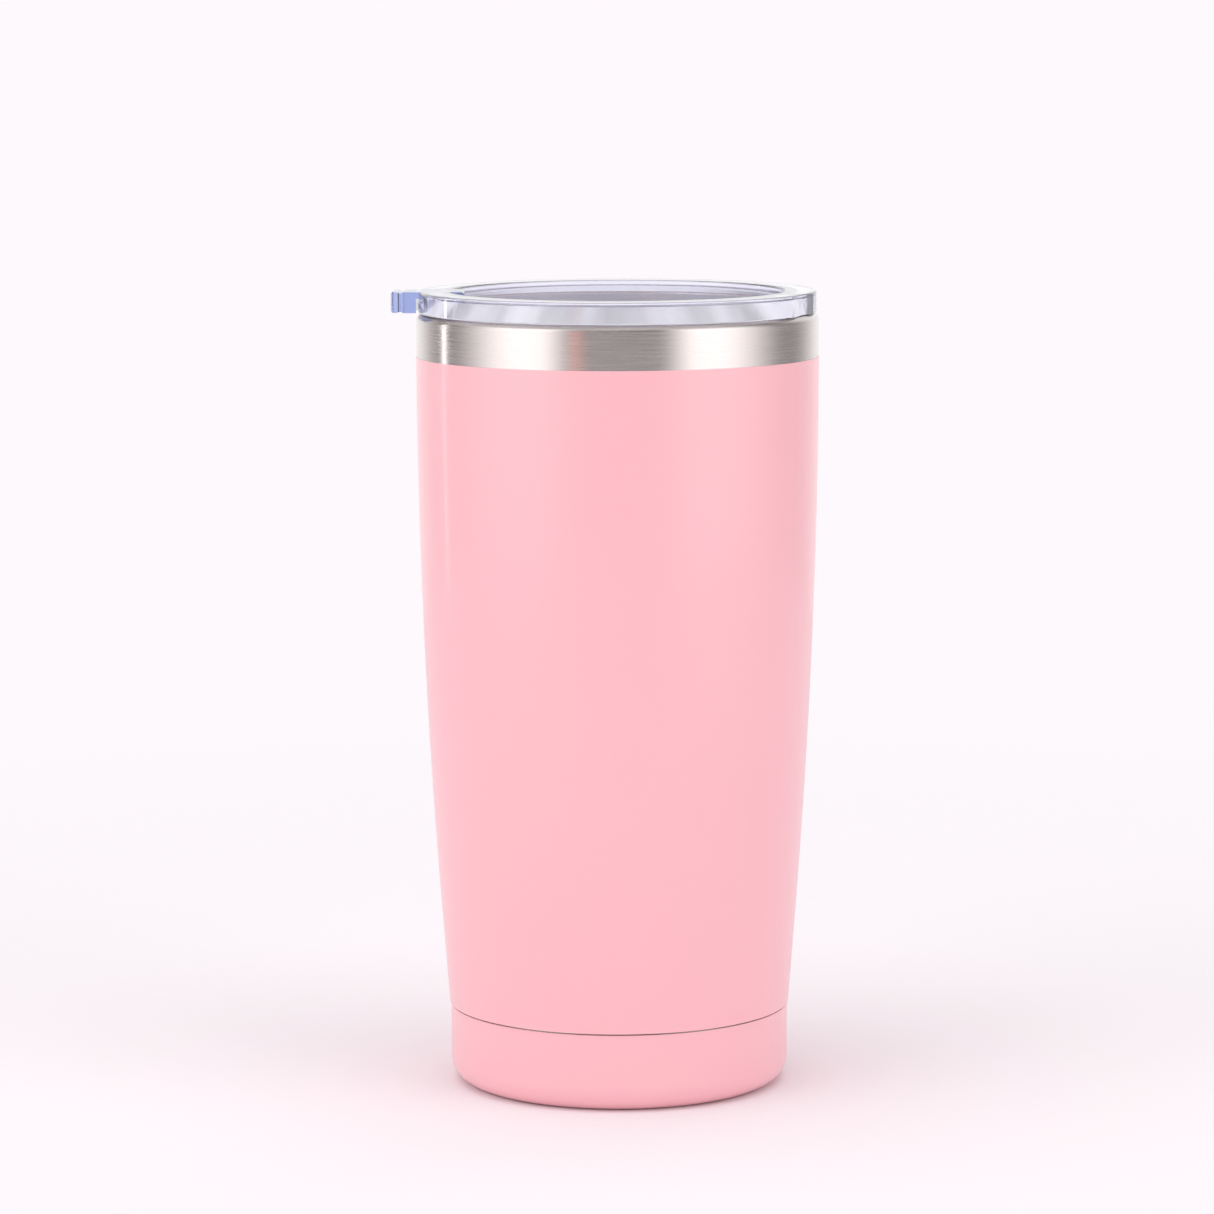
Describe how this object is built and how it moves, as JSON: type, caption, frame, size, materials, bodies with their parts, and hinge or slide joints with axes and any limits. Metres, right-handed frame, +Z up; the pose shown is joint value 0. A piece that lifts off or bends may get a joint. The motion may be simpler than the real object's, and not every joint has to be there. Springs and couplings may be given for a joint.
{
  "type": "insulated tumbler",
  "caption": "Tapered double-wall vacuum tumbler with a gloss coat, a bare steel rim band, a separate base cup, and a clear press-in lid with a flip flap over the sip hole in its sunken top.",
  "frame": {"origin": "centre of the base, on the surface that it stands on", "axes": "+Z up along the body's axis, the flap's thumb tab points along -X"},
  "size_m": [0.0925, 0.0872, 0.1733],
  "materials": {
    "rim_steel": "brushed around the axis",
    "liner_steel": "satin",
    "pink_coat": "gloss powder coat",
    "pink_cup": "gloss powder coat on steel",
    "clear_plastic": "clear moulded, faint blue",
    "silicone": "translucent matte",
    "solder_glass": "dark glassy bead",
    "getter_metal": "pressed powder"
  },
  "bodies": {
    "tumbler": {"outer_shell": "rim_steel", "colour_coat": "pink_coat", "liner_wall": "liner_steel", "liner_bottom": "liner_steel", "vacuum_pan": "liner_steel", "seal_bead": "solder_glass", "getter_holder": "liner_steel", "getter_pellet": "getter_metal", "base_cup": "pink_cup"},
    "seal": {"lid_gasket": "silicone"},
    "lid": {"lid_body": "clear_plastic"},
    "flap": {"flap": "clear_plastic", "flap_stopper": "silicone"}
  },
  "joints": [
    {"name": "lid_lift", "type": "slide", "parent": "tumbler", "child": "seal", "axis": [0, 0, 1], "range_m": [0, 0.04]},
    {"name": "lid_turn", "type": "hinge", "parent": "seal", "child": "lid", "pos_m": [0, 0, 0.1686], "axis": [0, 0, 1], "continuous": true},
    {"name": "flap_hinge", "type": "hinge", "parent": "lid", "child": "flap", "pos_m": [-0.02, 0, 0.1677], "axis": [0, 1, 0], "range_deg": [0, 130]}
  ]
}
